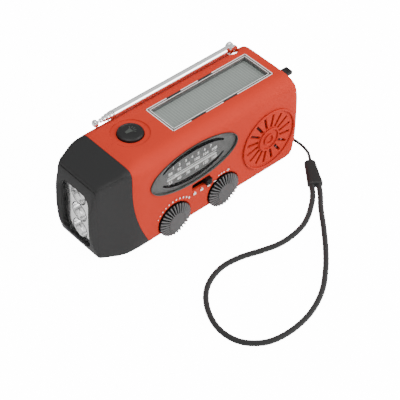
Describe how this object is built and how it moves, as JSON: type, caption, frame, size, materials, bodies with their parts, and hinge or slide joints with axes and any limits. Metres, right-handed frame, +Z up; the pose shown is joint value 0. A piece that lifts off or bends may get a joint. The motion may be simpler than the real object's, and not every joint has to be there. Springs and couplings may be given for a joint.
{
  "type": "emergency radio",
  "caption": "Pocket emergency radio with torch head, tuning dial with geared pointer, knobs, solar panel, telescopic aerial, fold-out hand crank with dynamo, and wrist strap.",
  "frame": {"origin": "centre of the flat base, under the middle of the case", "axes": "+X from the torch head to the free end of the case, -Y out of the dial and speaker face, +Z up from the base"},
  "size_m": [0.1366, 0.1346, 0.0608],
  "materials": {
    "red_plastic": "satin orange-red moulded plastic",
    "black_rubber": "matte",
    "clear_plastic": "polished clear plastic",
    "bright_chrome": "polished",
    "white_plastic": "satin",
    "circuit_board": "satin",
    "solar_silicon": "satin",
    "grey_print": "satin",
    "grey_plastic": "satin",
    "nylon": "satin",
    "steel": "satin",
    "black_plastic": "satin",
    "speaker_paper": "matte",
    "ferrite": "matte",
    "copper_wire": "satin",
    "battery_sleeve": "satin",
    "strap_cord": "woven cord",
    "strap_leather": "matte"
  },
  "bodies": {
    "case": {"front_shell": "red_plastic", "rear_shell": "red_plastic", "nose_cap": "black_rubber", "torch_lens": "clear_plastic", "torch_reflector": "bright_chrome", "torch_leds": "white_plastic", "torch_led_board": "circuit_board", "solar_frame": "white_plastic", "solar_cell": "solar_silicon", "solar_cover": "clear_plastic", "dial_window": "clear_plastic", "dial_plate": "grey_print", "dial_backing": "white_plastic", "tuning_capacitor": "nylon", "volume_control": "steel", "band_switch": "black_plastic", "speaker_frame": "steel", "speaker_cone": "speaker_paper", "speaker_magnet": "steel", "main_board": "circuit_board", "small_screws": "steel", "torch_switch": "black_plastic", "torch_switch_board": "circuit_board", "ferrite_rod": "ferrite", "ferrite_coil": "copper_wire", "battery_cell": "battery_sleeve", "battery_cradle": "black_plastic", "case_screws": "steel", "port_board": "circuit_board", "usb_port": "steel", "charge_port": "steel", "gearbox_plate": "nylon", "dynamo_housing": "steel", "strap_string": "strap_cord", "strap_ferrule": "strap_leather", "wrist_loop": "strap_cord"},
    "tuning": {"tuning_knob": "grey_plastic", "tuning_shaft": "nylon"},
    "pointer": {"dial_pointer": "white_plastic"},
    "volume": {"volume_knob": "grey_plastic", "volume_shaft": "steel"},
    "band_selector": {"band_slider": "black_plastic"},
    "button": {"torch_button": "black_rubber"},
    "cover": {"port_cover": "black_rubber"},
    "aerial_base": {"antenna_swivel": "bright_chrome", "antenna_pin": "steel"},
    "aerial_1": {"antenna_tube_1": "bright_chrome"},
    "aerial_2": {"antenna_tube_2": "bright_chrome"},
    "aerial_3": {"antenna_tube_3": "bright_chrome"},
    "aerial_4": {"antenna_tube_4": "bright_chrome"},
    "aerial_5": {"antenna_tube_5": "bright_chrome"},
    "crank": {"crank_shaft": "steel", "crank_gear": "nylon", "crank_arm": "black_plastic", "crank_screw": "steel", "knob_hinge_pin": "steel"},
    "handle_pivot": {"knob_spindle": "steel"},
    "handle": {"crank_knob": "black_plastic"},
    "idler": {"idler_gear": "nylon"},
    "rotor": {"dynamo_rotor": "copper_wire"}
  },
  "joints": [
    {"name": "tuning_turn", "type": "hinge", "parent": "case", "child": "tuning", "pos_m": [-0.02035, -0.02, 0.0102], "axis": [0, 1, 0], "range_deg": [-24.5, 190]},
    {"name": "pointer_slide", "type": "slide", "parent": "case", "child": "pointer", "axis": [1, 0, 0], "range_m": [-0.0031, 0.0239]},
    {"name": "volume_turn", "type": "hinge", "parent": "case", "child": "volume", "pos_m": [0.0115, -0.02, 0.0102], "axis": [0, 1, 0], "range_deg": [0, 270]},
    {"name": "band_slide", "type": "slide", "parent": "case", "child": "band_selector", "axis": [1, 0, 0], "range_m": [-0.0076, 0]},
    {"name": "torch_press", "type": "slide", "parent": "case", "child": "button", "axis": [0, 0, -1], "range_m": [0, 0.0015], "stiffness_N_per_m": 500},
    {"name": "cover_open", "type": "hinge", "parent": "case", "child": "cover", "pos_m": [0.0638, -0.0095, 0.0378], "axis": [0, 1, 0], "range_deg": [0, 100]},
    {"name": "aerial_swivel", "type": "hinge", "parent": "case", "child": "aerial_base", "pos_m": [0.0492, 0.0152, 0.0585], "axis": [0, 0, 1], "range_deg": [-180, 0]},
    {"name": "aerial_tilt", "type": "hinge", "parent": "aerial_base", "child": "aerial_1", "pos_m": [0.0492, 0.0152, 0.0585], "axis": [0, 1, 0], "range_deg": [0, 90]},
    {"name": "aerial_slide_2", "type": "slide", "parent": "aerial_1", "child": "aerial_2", "axis": [-1, 0, 0], "range_m": [0, 0.066]},
    {"name": "aerial_slide_3", "type": "slide", "parent": "aerial_2", "child": "aerial_3", "axis": [-1, 0, 0], "range_m": [0, 0.066]},
    {"name": "aerial_slide_4", "type": "slide", "parent": "aerial_3", "child": "aerial_4", "axis": [-1, 0, 0], "range_m": [0, 0.066]},
    {"name": "aerial_slide_5", "type": "slide", "parent": "aerial_4", "child": "aerial_5", "axis": [-1, 0, 0], "range_m": [0, 0.066]},
    {"name": "crank_turn", "type": "hinge", "parent": "case", "child": "crank", "pos_m": [0.0215, 0.02, 0.027], "axis": [0, 1, 0], "continuous": true},
    {"name": "handle_fold", "type": "hinge", "parent": "crank", "child": "handle_pivot", "pos_m": [-0.0225, 0.0239, 0.027], "axis": [0, 0, 1], "range_deg": [0, 90]},
    {"name": "handle_spin", "type": "hinge", "parent": "handle_pivot", "child": "handle", "pos_m": [-0.0107, 0.0239, 0.027], "axis": [1, 0, 0], "continuous": true},
    {"name": "idler_spin", "type": "hinge", "parent": "case", "child": "idler", "pos_m": [-0.0009, 0.0143, 0.027], "axis": [0, 1, 0], "continuous": true},
    {"name": "dynamo_spin", "type": "hinge", "parent": "case", "child": "rotor", "pos_m": [-0.015, 0.0032, 0.02187], "axis": [0, 1, 0], "continuous": true}
  ],
  "couplings": [
    {"joint": "pointer_slide", "follows": "tuning_turn", "m_per_rad": 0.0072},
    {"joint": "idler_spin", "follows": "crank_turn", "ratio": -3},
    {"joint": "dynamo_spin", "follows": "crank_turn", "ratio": 7.7143}
  ]
}
